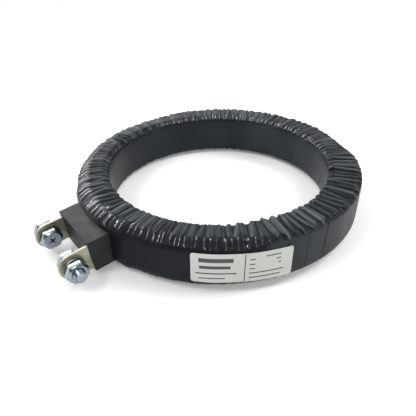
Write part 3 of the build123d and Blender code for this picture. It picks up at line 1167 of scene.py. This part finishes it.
# %% Build the fasteners
for end, side in (("s1", -1), ("s2", 1)):
    for kind in ("nut_washer", "head_washer"):
        node = f"{kind}_{end}"
        low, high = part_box(node)
        ring = washer(node, high.y - low.y, hole_d)
        ring.data.transform(stack_place(node, side))
        finish_piece(ring, f"flat_{kind}_{end}", dull_zinc, [node], smooth=30)

    node = f"nut_{end}"
    nut = make_nut(node)
    nut.data.transform(stack_place(node, side))
    finish_piece(nut, f"hex_nut_{end}", zinc, [node], smooth=30)

    node = f"screw_{end}"
    screw = make_screw(node, side * recess_turn)
    screw.data.transform(stack_place(node, side))
    finish_piece(screw, f"hex_screw_{end}", zinc, [node], smooth=30)

    dress(f"spring_washer_{end}", dull_zinc)

# %% [markdown]
# ## The label
#
# The label is a thin foil stuck on the outer wall. A flat grid with rounded corners is bent
# round the ring, so it follows the wall, with a slight waviness because tape lies underneath.
# Its printing is only ruled: a divider and a few plain bars.

# %% Label
label_w, label_h, label_t = 47.0 * mm, 16.4 * mm, 0.2 * mm
label_corner = 1.2 * mm
label_turn = radians(-30.7)
label_tilt = radians(-1.2)
label_lift = 0.3 * mm
label_r = 80.70 * mm
wave_h = 0.06 * mm


def wrap_round(obj, base_r):
    """Bends a flat piece, drawn in X and Z with its thickness in Y, round the ring."""
    flat_places = np.empty(len(obj.data.vertices) * 3)
    obj.data.vertices.foreach_get("co", flat_places)
    across_x, depth_y, up_z = flat_places.reshape(-1, 3).T
    x = across_x * np.cos(label_tilt) - up_z * np.sin(label_tilt)
    z = across_x * np.sin(label_tilt) + up_z * np.cos(label_tilt)
    wave = wave_h * (np.sin(x / (3.1 * mm)) + np.sin(x / (7.3 * mm) + z / (4 * mm)))
    r = base_r - depth_y + wave
    angle = label_turn + x / base_r
    bent = np.column_stack((r * np.cos(angle), r * np.sin(angle), z + label_lift))
    obj.data.vertices.foreach_set("co", bent.ravel())


def plate(width, height, corner, depth, cell):
    """A thin plate standing in X and Z, with rounded corners and a grid fine enough to bend."""
    deselect()
    bpy.ops.mesh.primitive_plane_add(size=1, rotation=(pi / 2, 0, 0))
    sheet = bpy.context.object
    sheet.scale = (width, height, 1)
    bpy.ops.object.transform_apply(rotation=True, scale=True)
    if corner:
        pick(sheet, "VERT", lambda v: True)
        bpy.ops.mesh.bevel(offset=corner, affect="VERTICES", segments=5)
        leave_edit()
    cuts = int(width / cell)
    for k in range(1, cuts):
        pick(sheet, "VERT", lambda v: True)
        bpy.ops.mesh.bisect(plane_co=(width * (k / cuts - 0.5), 0, 0), plane_no=(1, 0, 0))
        leave_edit()
    rows = int(height / (2 * cell))
    for k in range(1, rows):
        pick(sheet, "VERT", lambda v: True)
        bpy.ops.mesh.bisect(plane_co=(0, 0, height * (k / rows - 0.5)), plane_no=(0, 0, 1))
        leave_edit()
    solid = sheet.modifiers.new("depth", "SOLIDIFY")
    solid.thickness = depth
    solid.offset = 0
    apply_modifiers(sheet)
    return sheet


cell = 1.0 * mm
label = plate(label_w, label_h, label_corner, label_t, cell)
wrap_round(label, label_r)
close_up(label)
finish_piece(label, "foil_label", foil, ["rating_label"], smooth=40)

# %% [markdown]
# The bars are thin plates too, laid on the foil with the same bend. Separate plates keep their
# edges sharp, where a texture would need an image.

# %% Ruled bars on the label
ink_t = 0.02 * mm
ink_lift = 0.015 * mm

# Middle across and up from the label's middle, then width and height, in millimetres.
bars = [(0.8, 0.0, 0.45, 15.6)]
bars += [(-12.2, 4.6, 15.5, 2.3), (-12.6, 0.6, 14.0, 1.7)]
bars += [(-12.0, -2.9, 18.5, 0.7), (-14.0, -5.7, 12.0, 0.6)]
bars += [(4.1, row, 2.6, 0.6) for row in (4.6, 1.9, -0.6)]
bars += [(17.6 - w / 2, row, w, 0.6) for w, row in ((7.5, 5.6), (2.2, 3.3), (1.2, 1.0))]
bars += [(11.0, -3.2, 16.5, 0.6), (10.2, -5.8, 15.0, 0.6)]
pieces = []
for x, z, w, h in bars:
    bar = plate(w * mm, h * mm, 0, ink_t, cell)
    bar.data.transform(Matrix.Translation((x * mm, 0, z * mm)))
    pieces.append(bar)
ruling = join(pieces)
wrap_round(ruling, label_r + label_t / 2 + ink_lift)
finish_piece(ruling, "label_ruling", print_grey, smooth=40)
